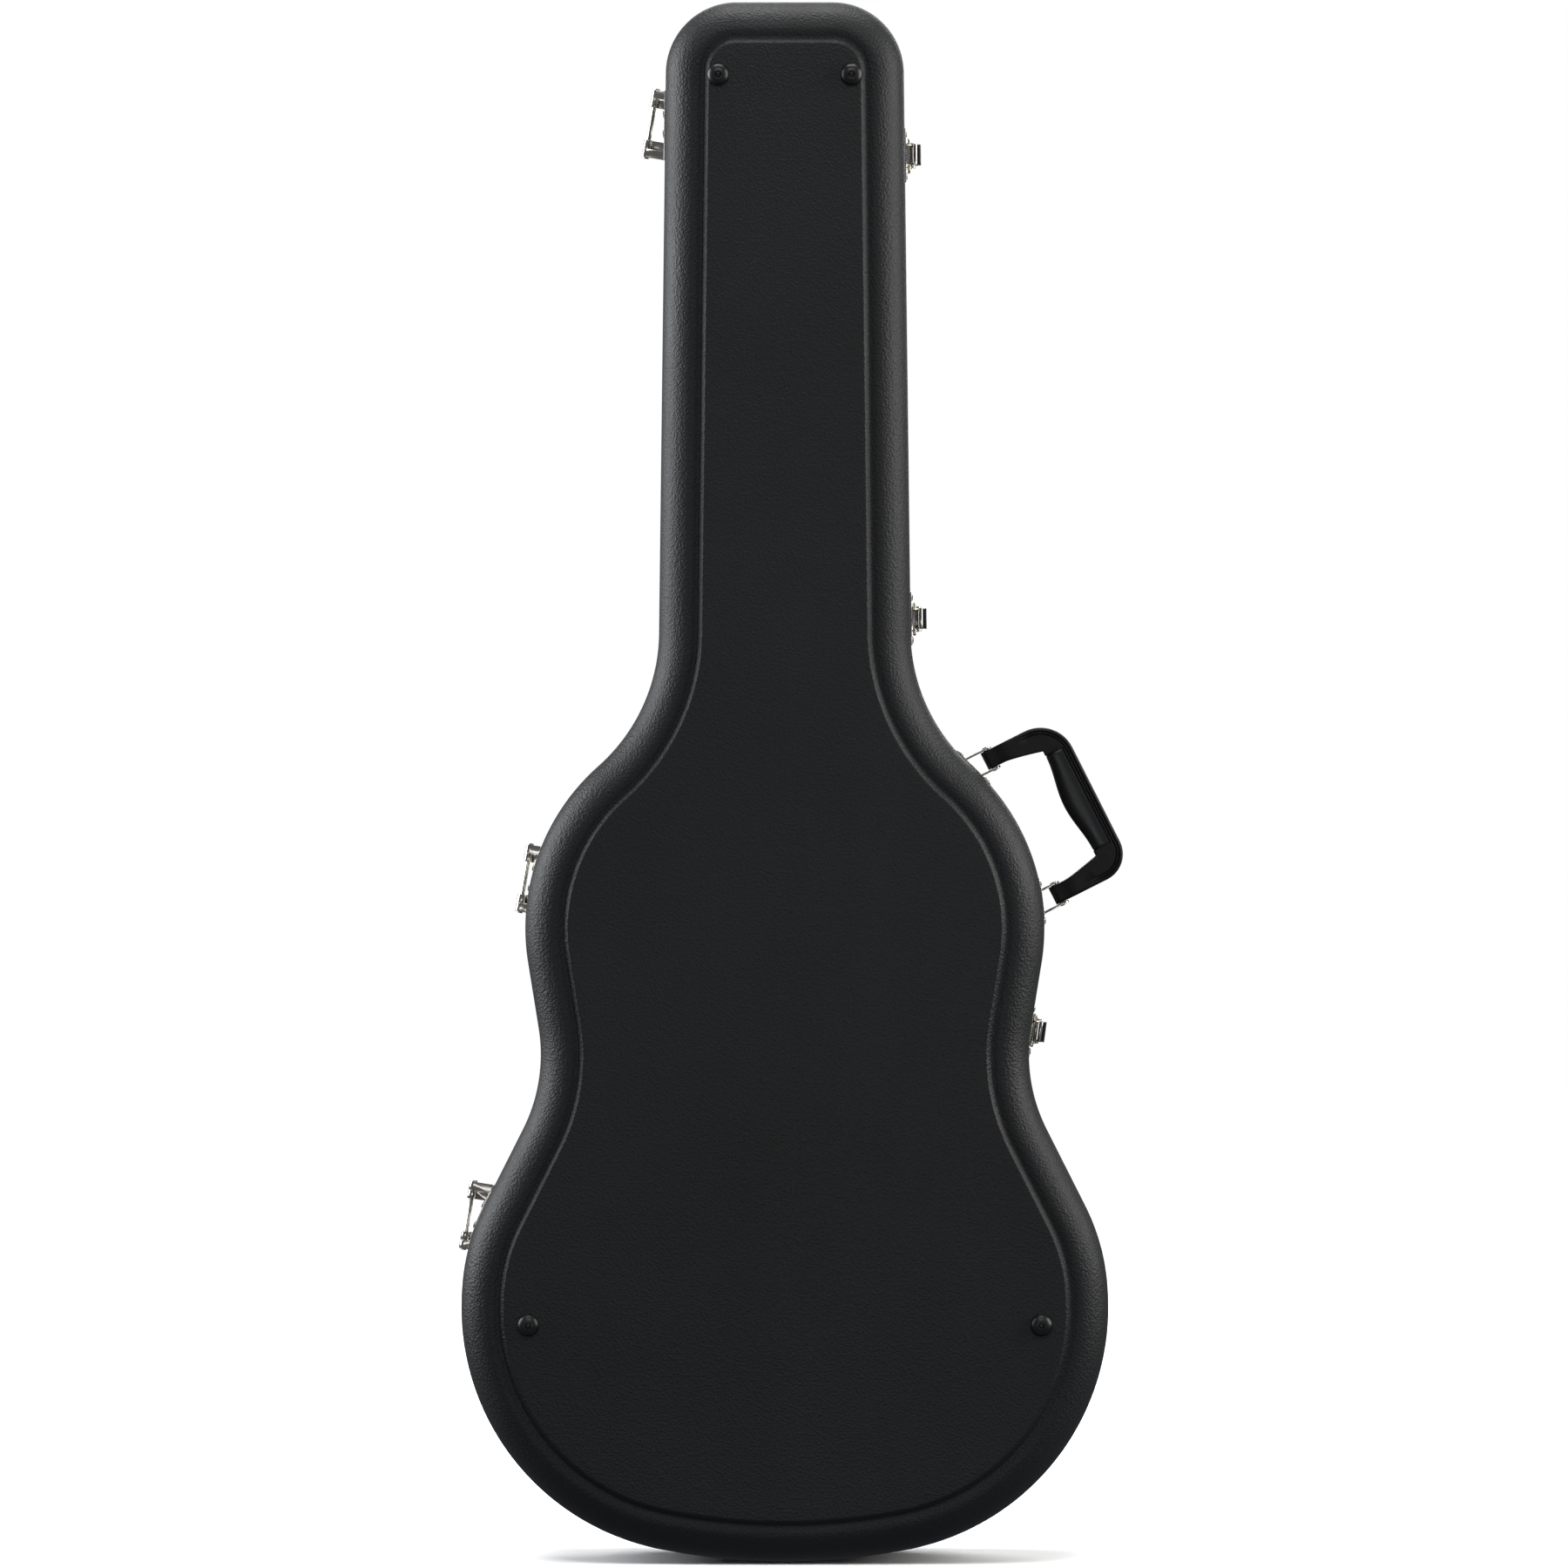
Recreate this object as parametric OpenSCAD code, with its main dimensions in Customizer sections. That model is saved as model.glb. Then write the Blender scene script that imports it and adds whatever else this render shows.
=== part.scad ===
// Hard guitar case: two moulded shells with metal rims, three pin hinges, three draw latches,
// a folding handle, four rubber feet and a padded inside with a lidded accessory box.
// The case stands on its lower bout, head up. +X is the handle side, -Y the back, +Y the lid.

/* [Case] */
// Length of the closed case
case_len = 1090; // [1070:1:1110]
// Place of the back panel's face along Y
back_y = -72; // [-76:1:-68]
// Place of the lid panel's face along Y
lid_y = 78; // [74:1:82]
// Place of the parting plane along Y
part_y = 26; // [24:1:28]
// Thickness of the moulded wall
wall = 3; // [2.6:0.1:3.2]
// Radius of the rounded edge between side and panel
edge_r = 27; // [24:0.5:30]
// Height of the raised panel above the edge
panel_step = 1.8; // [1:0.1:2.4]

/* [Outline] */
// Half width of the head
head_half = 83; // [81:0.5:85]
// Corner radius of the head
head_r = 50; // [46:1:54]
// Half width where the neck meets the upper bout
neck_half = 89; // [87:0.5:91]
// Height where the neck meets the upper bout
neck_z = 594; // [590:1:598]
// Radius between the neck and the upper bout
neck_r = 125; // [115:1:130]
// Half width of the upper bout's corner
upper_half = 193; // [190:0.5:196]
// Height of the upper bout's corner
upper_z = 500; // [497:1:503]
// Radius of the upper bout
upper_r = 152; // [140:1:154]
// Half width of the waist's corner
waist_half = 166.5; // [164:0.5:169]
// Height of the waist's corner
waist_z = 336; // [333:1:339]
// Radius of the waist
waist_r = 115; // [100:1:118]
// Half width of the lower bout's upper corner
bout_half = 225; // [223:0.5:227]
// Height of the lower bout's upper corner
bout_z = 220; // [217:1:223]
// Radius above the widest place
bout_r = 150; // [140:1:152]
// Half width of the lower bout's lower corner
tail_half = 232; // [230:0.5:234]
// Height of the lower bout's lower corner
tail_z = 35; // [32:1:38]
// Radius below the widest place
tail_r = 172; // [160:1:174]
// Radius of the bottom
bottom_r = 450; // [420:1:460]

/* [Rims] */
// Height of the base rim's outer skin
base_rim_h = 21; // [20:0.5:23]
// Height of the lid rim's outer skin
lid_rim_h = 15.7; // [15.5:0.1:17]
// Thickness of the rim's skins
rim_t = 1.4; // [1.2:0.1:1.6]
// Gap between the two rims
rim_gap = 0.3; // [0.3:0.05:0.6]

/* [Lining] */
// Inset of the padded cavity from the outline
cavity_inset = 22; // [20:0.5:25]
// Thickness of the padding on both panels, from the panel's face
pad_depth = 15; // [12:0.5:18]

/* [Hinges] */
// Tilt of the common hinge axis from vertical, in degrees
hinge_tilt = 9.5; // [9.3:0.1:9.7]
// Place of the lowest hinge along X
hinge_x = -223.3; // [-224:0.1:-223]
// Height of the lower hinge
lower_hinge_z = 239; // [236:1:242]
// Height of the middle hinge
middle_hinge_z = 477; // [475:1:479]
// Height of the upper hinge
upper_hinge_z = 1010; // [1006:1:1014]
// Length over the outer knuckles
hinge_len = 48; // [44:1:50]
// Radius of a knuckle
knuckle_r = 3.2; // [3:0.1:3.3]
// Radius of the hinge pin
hinge_pin_r = 1.5; // [1.3:0.1:1.6]

/* [Latches] */
// Height of the lower latch
lower_latch_z = 370; // [364:1:376]
// Height of the middle latch
middle_latch_z = 660; // [640:1:700]
// Height of the upper latch
upper_latch_z = 987; // [960:1:1000]
// Length of a latch's base plate along the rim
latch_w = 37; // [36:1:39]

/* [Handle] */
// Tilt of the handle's fold axis from vertical, in degrees
handle_tilt = -26.8; // [-27.5:0.1:-26]
// Middle of the fold axis along X
handle_x = 168.3; // [167.5:0.1:169]
// Middle of the fold axis along Y
handle_y = -9; // [-11:0.5:-8]
// Middle of the fold axis along Z
handle_z = 513.8; // [513:0.1:515]
// Distance between the middles of the two arm ends
handle_span = 106; // [104:0.5:108]
// Reach of the handle beyond its fold axis
handle_reach = 55; // [54:0.5:57]

/* [Feet] */
// Half distance between the upper feet
upper_foot_x = 46.4; // [42:0.2:48]
// Height of the upper feet
upper_foot_z = 1037; // [1030:1:1041]
// Half distance between the lower feet
lower_foot_x = 178.5; // [170:0.5:182]
// Height of the lower feet
lower_foot_z = 167; // [150:1:180]
// Radius of a foot
foot_r = 7.8; // [7:0.1:9]
// Height of a foot
foot_h = 6; // [5:0.5:8]

/* [Accessory box] */
// Height of the box's lower end
box_bottom = 640; // [620:1:660]
// Height of the box's upper end
box_top = 800; // [780:1:820]
// Width of the flap
flap_w = 74; // [60:1:76]
// Place of the flap's upper face along Y
flap_y = -16; // [-20:1:-14]

/* [Hidden] */
$fn = 40;
arc_tol = 0.25;                      // largest distance between an arc and its chords
fit = 0.05;                          // radial clearance of a running pin
skin = 0.4;                          // the shells sit this far inside the rims
round_r = edge_r - skin;             // outer radius of the rounded edge
round_c = panel_step + round_r;      // depth of the rounding's centre below the panel face
base_rim_y = part_y - base_rim_h;    // where the base shell ends
lid_part_y = part_y + rim_gap;       // lower face of the lid rim
lid_rim_y = lid_part_y + lid_rim_h;  // where the lid shell ends
web = 5.4;                           // inset of the inner face of both rims
hinge_zs = [lower_hinge_z, middle_hinge_z, upper_hinge_z];
latch_zs = [lower_latch_z, middle_latch_z, upper_latch_z];
foot_at = [[upper_foot_x, upper_foot_z], [lower_foot_x, lower_foot_z]];
box_z = [box_bottom, box_top];
rivet_r = 1.6;
rivet_head_r = 2.4;
head_lift = 0.12;                    // keeps a flat head clear of the bent plate under it
leaf_t = 1.2;                        // thickness of every pressed metal plate
black = [0.07, 0.07, 0.075];
chrome = [0.78, 0.78, 0.8];
plush = [0.16, 0.16, 0.18];

// ---- Outline: a half polygon of corners [x, z, radius], from the top round to the bottom ----
// Height of the lowest corner, below the bottom arc, which touches z = 0
function settle(z, n) =
    n == 0 ? z : settle(-bottom_r * (1 / cos(atan2(tail_z - z, tail_half)) - 1), n - 1);
bottom_z = settle(0, 8);
corners = [[0, case_len, 0], [head_half, case_len, head_r], [neck_half, neck_z, neck_r],
    [upper_half, upper_z, upper_r], [waist_half, waist_z, waist_r], [bout_half, bout_z, bout_r],
    [tail_half, tail_z, tail_r], [0, bottom_z, bottom_r]];

function unit(v) = v / norm(v);
function wrap(a) = a > 180 ? a - 360 : a < -180 ? a + 360 : a;
function xz(c) = [c[0], c[1]];

// Points and outward normals of the arc that rounds corner p between neighbours a and b.
// part is the share of the arc that is made.
function corner_arc(p, a, b, r, part = 1) =
    let (to_a = unit(a - p), to_b = unit(b - p),
        half = acos(to_a * to_b) / 2,
        centre = p + unit(to_a + to_b) * r / sin(half),
        start = p + to_a * r / tan(half) - centre,
        end = p + to_b * r / tan(half) - centre,
        a0 = atan2(start[1], start[0]),
        turn = wrap(atan2(end[1], end[0]) - a0),
        out = turn < 0 ? 1 : -1,
        n = max(2, ceil(abs(turn) * part / (2 * acos(1 - arc_tol / r)))))
    [for (k = [0 : n]) let (t = a0 + turn * part * k / n, e = [cos(t), sin(t)])
        [centre + r * e, out * e]];

last = len(corners) - 1;
half_outline = concat(
    [for (i = [1 : last - 1])
        each corner_arc(xz(corners[i]), xz(corners[i - 1]), xz(corners[i + 1]), corners[i][2])],
    corner_arc([0, bottom_z], [tail_half, tail_z], [-tail_half, tail_z], bottom_r, 0.5));
half_count = len(half_outline);

// The closed outline, set in by d; only the lowest point lies on the middle line
function ring(d) = let (right = [for (q = half_outline) q[0] - d * q[1]])
    concat(right, [for (i = [half_count - 2 : -1 : 0]) [-right[i][0], right[i][1]]]);

// The outline's point and normal at height z on the right half
function outline_at(z) =
    let (i = max([for (k = [0 : half_count - 2]) if (half_outline[k][0][1] >= z) k]),
        hi = half_outline[i], lo = half_outline[i + 1],
        t = (hi[0][1] - z) / (hi[0][1] - lo[0][1]))
    [hi[0] + t * (lo[0] - hi[0]), unit(hi[1] + t * (lo[1] - hi[1]))];

// ---- Solids that follow the outline ----
// A closed tub whose wall section is a path of [inset, depth below the panel's face]
module tub(path) {
    n = 2 * half_count - 1;
    m = len(path);
    points = [for (s = path) each [for (q = ring(s[0])) [q[0], s[1], q[1]]]];
    walls = [for (j = [0 : m - 2], i = [0 : n - 1]) let (k = (i + 1) % n)
        [j * n + i, (j + 1) * n + i, (j + 1) * n + k, j * n + k]];
    cap = function (first, flip) [for (i = [0 : half_count - 2])
        let (face = i == half_count - 2 ? [i, i + 1, i + 2] : [i, i + 1, n - 2 - i, n - 1 - i])
        [for (k = [0 : len(face) - 1]) first + face[flip ? len(face) - 1 - k : k]]];
    polyhedron(points, concat(walls, cap(0, false), cap((m - 1) * n, true)));
}

module for_base() translate([0, back_y, 0]) children();
module for_lid() translate([0, lid_y, 0]) mirror([0, 1, 0]) children();

// Everything inside the outline set in by d, from y0 to y1
module slab(d, y0, y1)
    translate([0, y1, 0]) rotate([90, 0, 0]) linear_extrude(y1 - y0) polygon(ring(d));
// A band round the case between the insets d0 and d1
module band(d0, d1, y0, y1) difference() {
    slab(d0, y0, y1);
    slab(d1, y0 - 1, y1 + 1);
}

// Local frame on the side wall at height z: X outwards, Y towards the lid, Z up along the wall
module on_wall(z, y = part_y) {
    place = outline_at(z);
    translate([place[0][0], y, place[0][1]])
        rotate([0, -atan2(place[1][1], place[1][0]), 0]) children();
}
module on_left() mirror([1, 0, 0]) children();

// Quarter round of a tub's section, from the panel side to the wall
function quarter(rd, rs, n) = [for (k = [0 : n]) let (a = 90 * k / n)
    [edge_r - rd * sin(a), round_c - rs * cos(a)]];

module shell(depth) tub(concat(
    [[edge_r + 2.6, 0], [edge_r + 0.8, panel_step]],
    quarter(round_r, round_r, 6),
    [[skin, depth], [skin + wall, depth]],
    [for (i = [5 : -1 : 0]) quarter(round_r - wall, round_r - wall, 5)[i]],
    [[edge_r + 1.6, panel_step + wall], [edge_r + 3.2, wall]]));

module base_shell() color(black) for_base() shell(base_rim_y - back_y);
module lid_shell() color(black) for_lid() shell(lid_y - lid_rim_y);

// Padding: a flat pad behind each panel and a strip round the side wall that stands on it.
// side is the inset of the padding's outer side and depth the place of its brim.
pad_gap = 0.2;
pad_arc = round_r - wall - 0.3;        // radius of the padding's rounded edge, from the panel side
function pad_point(side, a) = [edge_r - (edge_r - side) * sin(a), round_c - pad_arc * cos(a)];
function angle_at(depth) = acos((round_c - depth) / pad_arc);

module panel_pad(side) tub(concat(
    [[edge_r + 3.6, wall + 0.3], [edge_r + 1.8, panel_step + wall + 0.3]],
    [for (k = [0 : 3]) pad_point(side, angle_at(pad_depth) * k / 3)]));

// A closed ring along the outline whose section is a loop of [inset, depth]
module hoop(path) {
    n = 2 * half_count - 1;
    m = len(path);
    polyhedron([for (s = path) each [for (q = ring(s[0])) [q[0], s[1], q[1]]]],
        [for (j = [0 : m - 1], i = [0 : n - 1]) let (k = (i + 1) % n, u = (j + 1) % m)
            [j * n + i, u * n + i, u * n + k, j * n + k]]);
}
module side_pad(side, depth) let (a0 = angle_at(pad_depth + pad_gap)) hoop(concat(
    [for (k = [0 : 2]) pad_point(side, a0 + (90 - a0) * k / 2)],
    [[side, depth - 3], [side + 2.5, depth], [cavity_inset - 4, depth],
        [cavity_inset - 1, depth - 3], [cavity_inset, depth - 8],
        [cavity_inset, pad_depth + 10], [cavity_inset + 3, pad_depth + 3],
        [cavity_inset + 9, pad_depth + pad_gap]]));

base_side = 5.9;                       // insets of the two pads' outer sides
lid_side = 7.6;
module base_panel_pad() color(plush) for_base() panel_pad(base_side);
module base_side_pad() color(plush) for_base() side_pad(base_side, part_y - 2 - back_y);
module lid_panel_pad() color(plush) for_lid() panel_pad(lid_side);
module lid_side_pad() color(plush) for_lid() side_pad(lid_side, lid_y - part_y - 2);

// ---- Metal rims ----
tongue = [3.5, 4.9];   // insets of the base rim's tongue
groove = [3.0, 5.8];   // insets of the lid rim's groove
tongue_h = 2.5;
groove_clear = 0.8;    // space over the tongue
bridge_t = 1.7;        // thickness of the wall over the groove
bridge_y = part_y + tongue_h + groove_clear;
flange_h = 8;          // how far a rim's inner flange reaches over the shell's inside

module base_rim() color([0.13, 0.13, 0.14]) difference() {
    union() {
        band(0, rim_t, base_rim_y, part_y);
        band(0, web, part_y - 2, part_y);
        band(web - rim_t, web, base_rim_y - flange_h, part_y);
        band(tongue[0], tongue[1], part_y - 1, part_y + tongue_h);
    }
    leaf_rivets(-1, true);
    plate_rivets(true);
}
module lid_rim() color([0.13, 0.13, 0.14]) difference() {
    union() {
        band(0, rim_t, lid_part_y, lid_rim_y);
        band(0, groove[0], lid_part_y, bridge_y + bridge_t);
        band(0, groove[1] + rim_t, bridge_y, bridge_y + bridge_t);
        band(groove[1], groove[1] + rim_t, lid_part_y, bridge_y + bridge_t);
        band(web - rim_t, web, part_y + tongue_h + 1, lid_rim_y + flange_h);
    }
    leaf_rivets(1, true);
    keeper_rivets(true);
}

// ---- Rivets ----
// A rivet along -X from its head at x = t to its end; as a drill it is only the shank
module rivet(t, deep, drill = false) {
    if (!drill) translate([t + head_lift, 0, 0]) rotate([0, 90, 0]) rotate_extrude()
        polygon([[0, 0], [rivet_head_r, 0], [rivet_head_r, 0.35],
            each [for (a = [15 : 25 : 90]) [rivet_head_r * cos(a), 0.35 + 0.65 * sin(a)]]]);
    translate([-deep, 0, 0]) rotate([0, 90, 0]) cylinder(r = rivet_r, h = deep + t + head_lift);
}

// ---- Hinges: all three share one tilted axis ----
hinge_y = part_y + rim_gap / 2;
hinge_h = 13;          // height of a leaf on the rim
knuckle_w = 6;         // length of one knuckle
knuckle_gap = 0.3;
function hinge_at(i) = let (z = hinge_zs[i])
    [hinge_x + (z - hinge_zs[0]) * tan(hinge_tilt), hinge_y, z];
module on_hinge(i) translate(hinge_at(i)) rotate([0, hinge_tilt, 0]) children();

// The two knuckles of one leaf and their arms; side is -1 on the base and 1 on the lid
module hinge_leaf(i, side) {
    outer = side < 0 ? hinge_len / 2 : hinge_len / 2 - knuckle_w - knuckle_gap;
    color(chrome) {
        difference() {
            intersection() {
                band(-leaf_t, 0, min(side * 0.9, side * hinge_h) + hinge_y,
                    max(side * 0.9, side * hinge_h) + hinge_y);
                on_hinge(i) translate([0, -20, -outer]) cube([40, 40, 2 * outer]);
            }
            leaf_rivets(side, true);
        }
        for (end = [-1, 1]) difference() {
            on_hinge(i) for_knuckle(end, outer) {
                cylinder(r = knuckle_r, h = knuckle_w);
                translate([0, side < 0 ? -knuckle_r : 1, 0])
                    cube([30, knuckle_r - 1, knuckle_w]);
            }
            on_hinge(i) for_knuckle(end, outer) translate([0, 0, -1])
                cylinder(r = hinge_pin_r + fit, h = knuckle_w + 2);
            slab(0, 0, 60);
        }
    }
}
// Places a knuckle at one end of a leaf that is 2 * outer long
module for_knuckle(end, outer)
    translate([0, 0, end < 0 ? -outer : outer - knuckle_w]) children();

module hinge_pin(i) color(chrome) on_hinge(i) {
    cylinder(r = hinge_pin_r, h = hinge_len + 1.6, center = true);
    for (end = [-1, 1]) translate([0, 0, end * (hinge_len / 2 + 0.5)])
        cylinder(r = hinge_pin_r + 0.6, h = 0.8, center = true);
}
// Two rivets in each leaf of each hinge
module leaf_rivets(side, drill = false)
    for (i = [0 : 2], dz = [-7, 7])
        on_left() on_wall(hinge_zs[i] + dz, hinge_y + side * 8) rivet(leaf_t, web, drill);

// ---- Latches: a lever on the base draws a wire bail over a hooked keeper on the lid ----
lever_pin_at = [5, -5.5];      // in the wall frame: [outwards, towards the lid]
bail_pin_at = [3.4, -12];
bail_r = 1.1;
bail_reach = 20.8;             // from the bail's pivot to its cross bar
bail_half = 10.6;              // half distance between the bail's legs
ear_in = 7.6;                  // inner face of the plate's ears
ear_r = 3.1;
lever_pin_r = 1.25;
lever_top = [7, 8.2];          // inner and outer face of the lever's top plate
lever_front = -5.6;
lever_end = -21;
cheek = [6, 7.2];              // inner and outer face of the lever's cheeks
plate_y = [-20.5, -1];
keeper_y = [2, 15];

module at_pair(p) translate([p[0], p[1], 0]) children();
module both_sides() for (s = [-1, 1]) scale([1, 1, s]) children();

// A plate bent to the wall, w long and centred at height z, between y[0] and y[1] off the parting
module wall_plate(z, w, y) intersection() {
    band(-leaf_t, 0, part_y + y[0], part_y + y[1]);
    on_wall(z) translate([-20, y[0] - 1, -w / 2]) cube([40, y[1] - y[0] + 2, w]);
}
module latch_plate(i) color(chrome) difference() {
    union() {
        wall_plate(latch_zs[i], latch_w, plate_y);
        difference() {
            on_wall(latch_zs[i]) for (s = [-1, 1]) translate([0, 0, s * (ear_in + leaf_t / 2)]) {
                at_pair(lever_pin_at) cylinder(r = ear_r, h = leaf_t, center = true);
                translate([-2, lever_pin_at[1] - ear_r, -leaf_t / 2])
                    cube([lever_pin_at[0] + 2, 2 * ear_r, leaf_t]);
            }
            slab(0, -60, 60);
        }
    }
    on_wall(latch_zs[i]) at_pair(lever_pin_at) cylinder(r = lever_pin_r + fit, h = 30, center = true);
    plate_rivets(true);
}
module latch_lever(i) color(chrome) on_wall(latch_zs[i]) difference() {
    union() {
        translate([lever_top[0], lever_end, -cheek[1]])
            cube([lever_top[1] - lever_top[0], lever_front - lever_end, 2 * cheek[1]]);
        translate([7.6, lever_end, -cheek[1]]) cylinder(r = 1.4, h = 2 * cheek[1]);
        for (s = [-1, 1]) translate([0, 0, s * (cheek[0] + cheek[1]) / 2])
            linear_extrude(cheek[1] - cheek[0], center = true)
                polygon([[1.9, -14], [1.9, -10], [2.6, -4.5], [4.2, -2.9], [6.2, -3.2],
                    [7.6, lever_front], [7.6, -19], [5, -18]]);
    }
    at_pair(lever_pin_at) cylinder(r = lever_pin_r + fit, h = 30, center = true);
    at_pair(bail_pin_at) cylinder(r = bail_r + fit, h = 30, center = true);
}
module latch_thumb_pad(i) color(black) on_wall(latch_zs[i]) difference() {
    translate([lever_top[1], -18.5, 0]) linear_extrude(2 * cheek[1], center = true)
        polygon([[0, 0], [0, 12.4], [1.2, 12.4], [3.2, 11], [3.6, 8], [3, 5.5],
            [2.6, 3], [3, 1.4], [2.4, 0]]);
    for (s = [-1, 1]) translate([12, -20, s * 9.6]) rotate([0, -18 * s, 0])
        translate([-3, 0, -2]) cube([6, 20, 4]);
}
module latch_lever_pin(i) color(chrome) on_wall(latch_zs[i]) at_pair(lever_pin_at)
    cylinder(r = lever_pin_r, h = 2 * (ear_in + leaf_t) + 0.8, center = true);

module latch_bail(i) color(chrome) on_wall(latch_zs[i]) at_pair(bail_pin_at) {
    both_sides() {
        translate([0, 0, cheek[0] - 0.5]) cylinder(r = bail_r, h = bail_half - cheek[0] + 0.5);
        translate([0, 0, bail_half]) rotate([-90, 0, 0]) cylinder(r = bail_r, h = bail_reach);
        translate([0, 0, bail_half]) sphere(r = bail_r);
        translate([0, bail_reach, bail_half]) sphere(r = bail_r);
    }
    translate([0, bail_reach, 0]) cylinder(r = bail_r, h = 2 * bail_half, center = true);
}
hook_y = bail_pin_at[1] + bail_reach - bail_r - 0.3;   // far face of the keeper's hook
module latch_keeper(i) color(chrome) difference() {
    union() {
        wall_plate(latch_zs[i], 22, keeper_y);
        difference() {
            on_wall(latch_zs[i]) translate([-2, hook_y - leaf_t, -8.8]) cube([7.4, leaf_t, 17.6]);
            slab(0, -60, 60);
        }
    }
    keeper_rivets(true);
}
module plate_rivets(drill = false) for (z = latch_zs, dz = [-15, 15])
    on_wall(z + dz) translate([0, -11, 0]) rivet(leaf_t, web, drill);
module keeper_rivets(drill = false) for (z = latch_zs, dz = [-6, 6])
    on_wall(z + dz) translate([0, 12.6, 0]) rivet(leaf_t, web, drill);

// ---- Handle: a moulded bow with a soft grip, folding in two clevis brackets ----
arm_z = handle_span / 2;
arm_w = 13;            // width of an arm along the fold axis
arm_r = 4.6;           // radius of an arm's end round the fold axis
bow_half_y = 8;        // half thickness of the bow
bow_r = [20, 25];      // outer corner radii, lower and upper
handle_pin_r = 2.2;
ear_t = 1.5;
corner_z = 41;         // inner half length of the bow at its bar
grip_z = 37;           // half length of the soft grip
grip_t = 12.5;         // thickness of the grip at its ends
belly = 4.4;           // how far the grip swells for the fingers
strap_w = 7;           // thickness of the bow outside the grip

module on_handle() translate([handle_x, handle_y, handle_z])
    rotate([0, handle_tilt, 0]) children();

// The bow seen from the case's back, and its profile along the fold axis
module bow_side() {
    outer = arm_z + arm_w / 2;
    inner = arm_z - arm_w / 2;
    difference() {
        hull() {
            translate([-60, -outer]) square([1, 2 * outer]);
            translate([handle_reach - bow_r[0], bow_r[0] - outer]) circle(r = bow_r[0]);
            translate([handle_reach - bow_r[1], outer - bow_r[1]]) circle(r = bow_r[1]);
        }
        offset(r = 4) offset(delta = -4) polygon([[-60, -inner], [9, -inner],
            [handle_reach - strap_w - grip_t, -corner_z],
            [handle_reach - strap_w - grip_t, corner_z], [9, inner], [-60, inner]]);
        translate([handle_reach - strap_w - 30, -grip_z]) square([30, 2 * grip_z]);
        translate([-40 - arm_r, -100]) square([40, 200]);
    }
}
module bow_edge() {
    circle(r = arm_r);
    polygon([[0, -arm_r], [16, -bow_half_y], [handle_reach - 3, -bow_half_y],
        [handle_reach, -bow_half_y + 3], [handle_reach, bow_half_y - 3],
        [handle_reach - 3, bow_half_y], [16, bow_half_y], [0, arm_r]]);
}
module handle_frame() color(black) on_handle() difference() {
    intersection() {
        rotate([90, 0, 0]) linear_extrude(40, center = true) bow_side();
        linear_extrude(200, center = true) bow_edge();
    }
    cylinder(r = handle_pin_r + fit, h = 200, center = true);
}
module handle_grip() color([0.1, 0.1, 0.11]) on_handle() intersection() {
    rotate([90, 0, 0]) linear_extrude(2 * bow_half_y + 2, center = true) polygon(concat(
        [[handle_reach - strap_w, -grip_z], [handle_reach - strap_w, grip_z]],
        [for (k = [0 : 24]) let (z = grip_z * (1 - k / 12))
            [handle_reach - strap_w - grip_t - belly * (1 + cos(180 * z / grip_z)) / 2, z]]));
    translate([handle_reach - strap_w - 5.5, 0, 0]) linear_extrude(200, center = true)
        scale([1.35, 1]) circle(r = bow_half_y + 1);
}
module handle_bracket(end) color(chrome) difference() {
    union() {
        intersection() {
            band(skin - leaf_t - 0.05, skin - 0.05, handle_y - 8, handle_y + 8);
            on_handle() translate([-25, -20, end * arm_z - 16]) cube([40, 40, 32]);
        }
        difference() {
            on_handle() for (s = [-1, 1])
                translate([0, 0, end * arm_z + s * (arm_w / 2 + 0.3 + ear_t / 2)]) {
                    cylinder(r = 4.2, h = ear_t, center = true);
                    translate([-20, -4.2, -ear_t / 2]) cube([20, 8.4, ear_t]);
                }
            slab(skin - 0.05, -60, 60);
        }
    }
    on_handle() cylinder(r = handle_pin_r, h = 200, center = true);
    bracket_rivets(end, true);
}
module handle_pin(end) color(chrome) on_handle() translate([0, 0, end * arm_z])
    cylinder(r = handle_pin_r, h = arm_w + 2 * ear_t + 2, center = true);

// One rivet above and one below each arm, outside the ears
module bracket_rivets(end, drill = false)
    for (s = [-1, 1])
        on_wall(handle_z + end * arm_z * cos(handle_tilt) - 6.2 + s * (end > 0 ? 9.1 : 12.9),
            handle_y) translate([-skin + 0.05, 0, 0]) rivet(leaf_t, wall + 1.2, drill);
module handle_rivets() color(chrome) for (end = [-1, 1]) bracket_rivets(end);

module handle_backing(end) color([0.55, 0.55, 0.57]) difference() {
    intersection() {
        band(skin + wall + 0.05, skin + wall + 0.05 + leaf_t, handle_y - 7, handle_y + 5.5);
        on_handle() translate([-45, -20, end * arm_z - 16]) cube([60, 40, 32]);
    }
    bracket_rivets(end, true);
}

// ---- Feet ----
module each_foot() for (p = foot_at, s = [-1, 1])
    translate([s * p[0], back_y, p[1]]) rotate([90, 0, 0]) children();
module feet() color([0.05, 0.05, 0.05]) each_foot() rotate_extrude() polygon(concat(
    [[2.0, 0], [foot_r, 0], [foot_r, 1]],
    [for (a = [15 : 15 : 90]) [4.9 + (foot_r - 4.9) * cos(a), 1 + (foot_h - 1) * sin(a)]],
    [[3.3, foot_h], [3.3, foot_h - 2.2], [2.0, foot_h - 2.2]]));
module foot_rivets() color(chrome) each_foot() {
    translate([0, 0, -wall - 0.2]) cylinder(r = 1.95, h = wall + 0.2 + foot_h - 2.2);
    translate([0, 0, foot_h - 2.2]) rotate_extrude() polygon([[0, 0], [3, 0], [3, 0.4],
        [2, 1.1], [0, 1.4]]);
}

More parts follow.
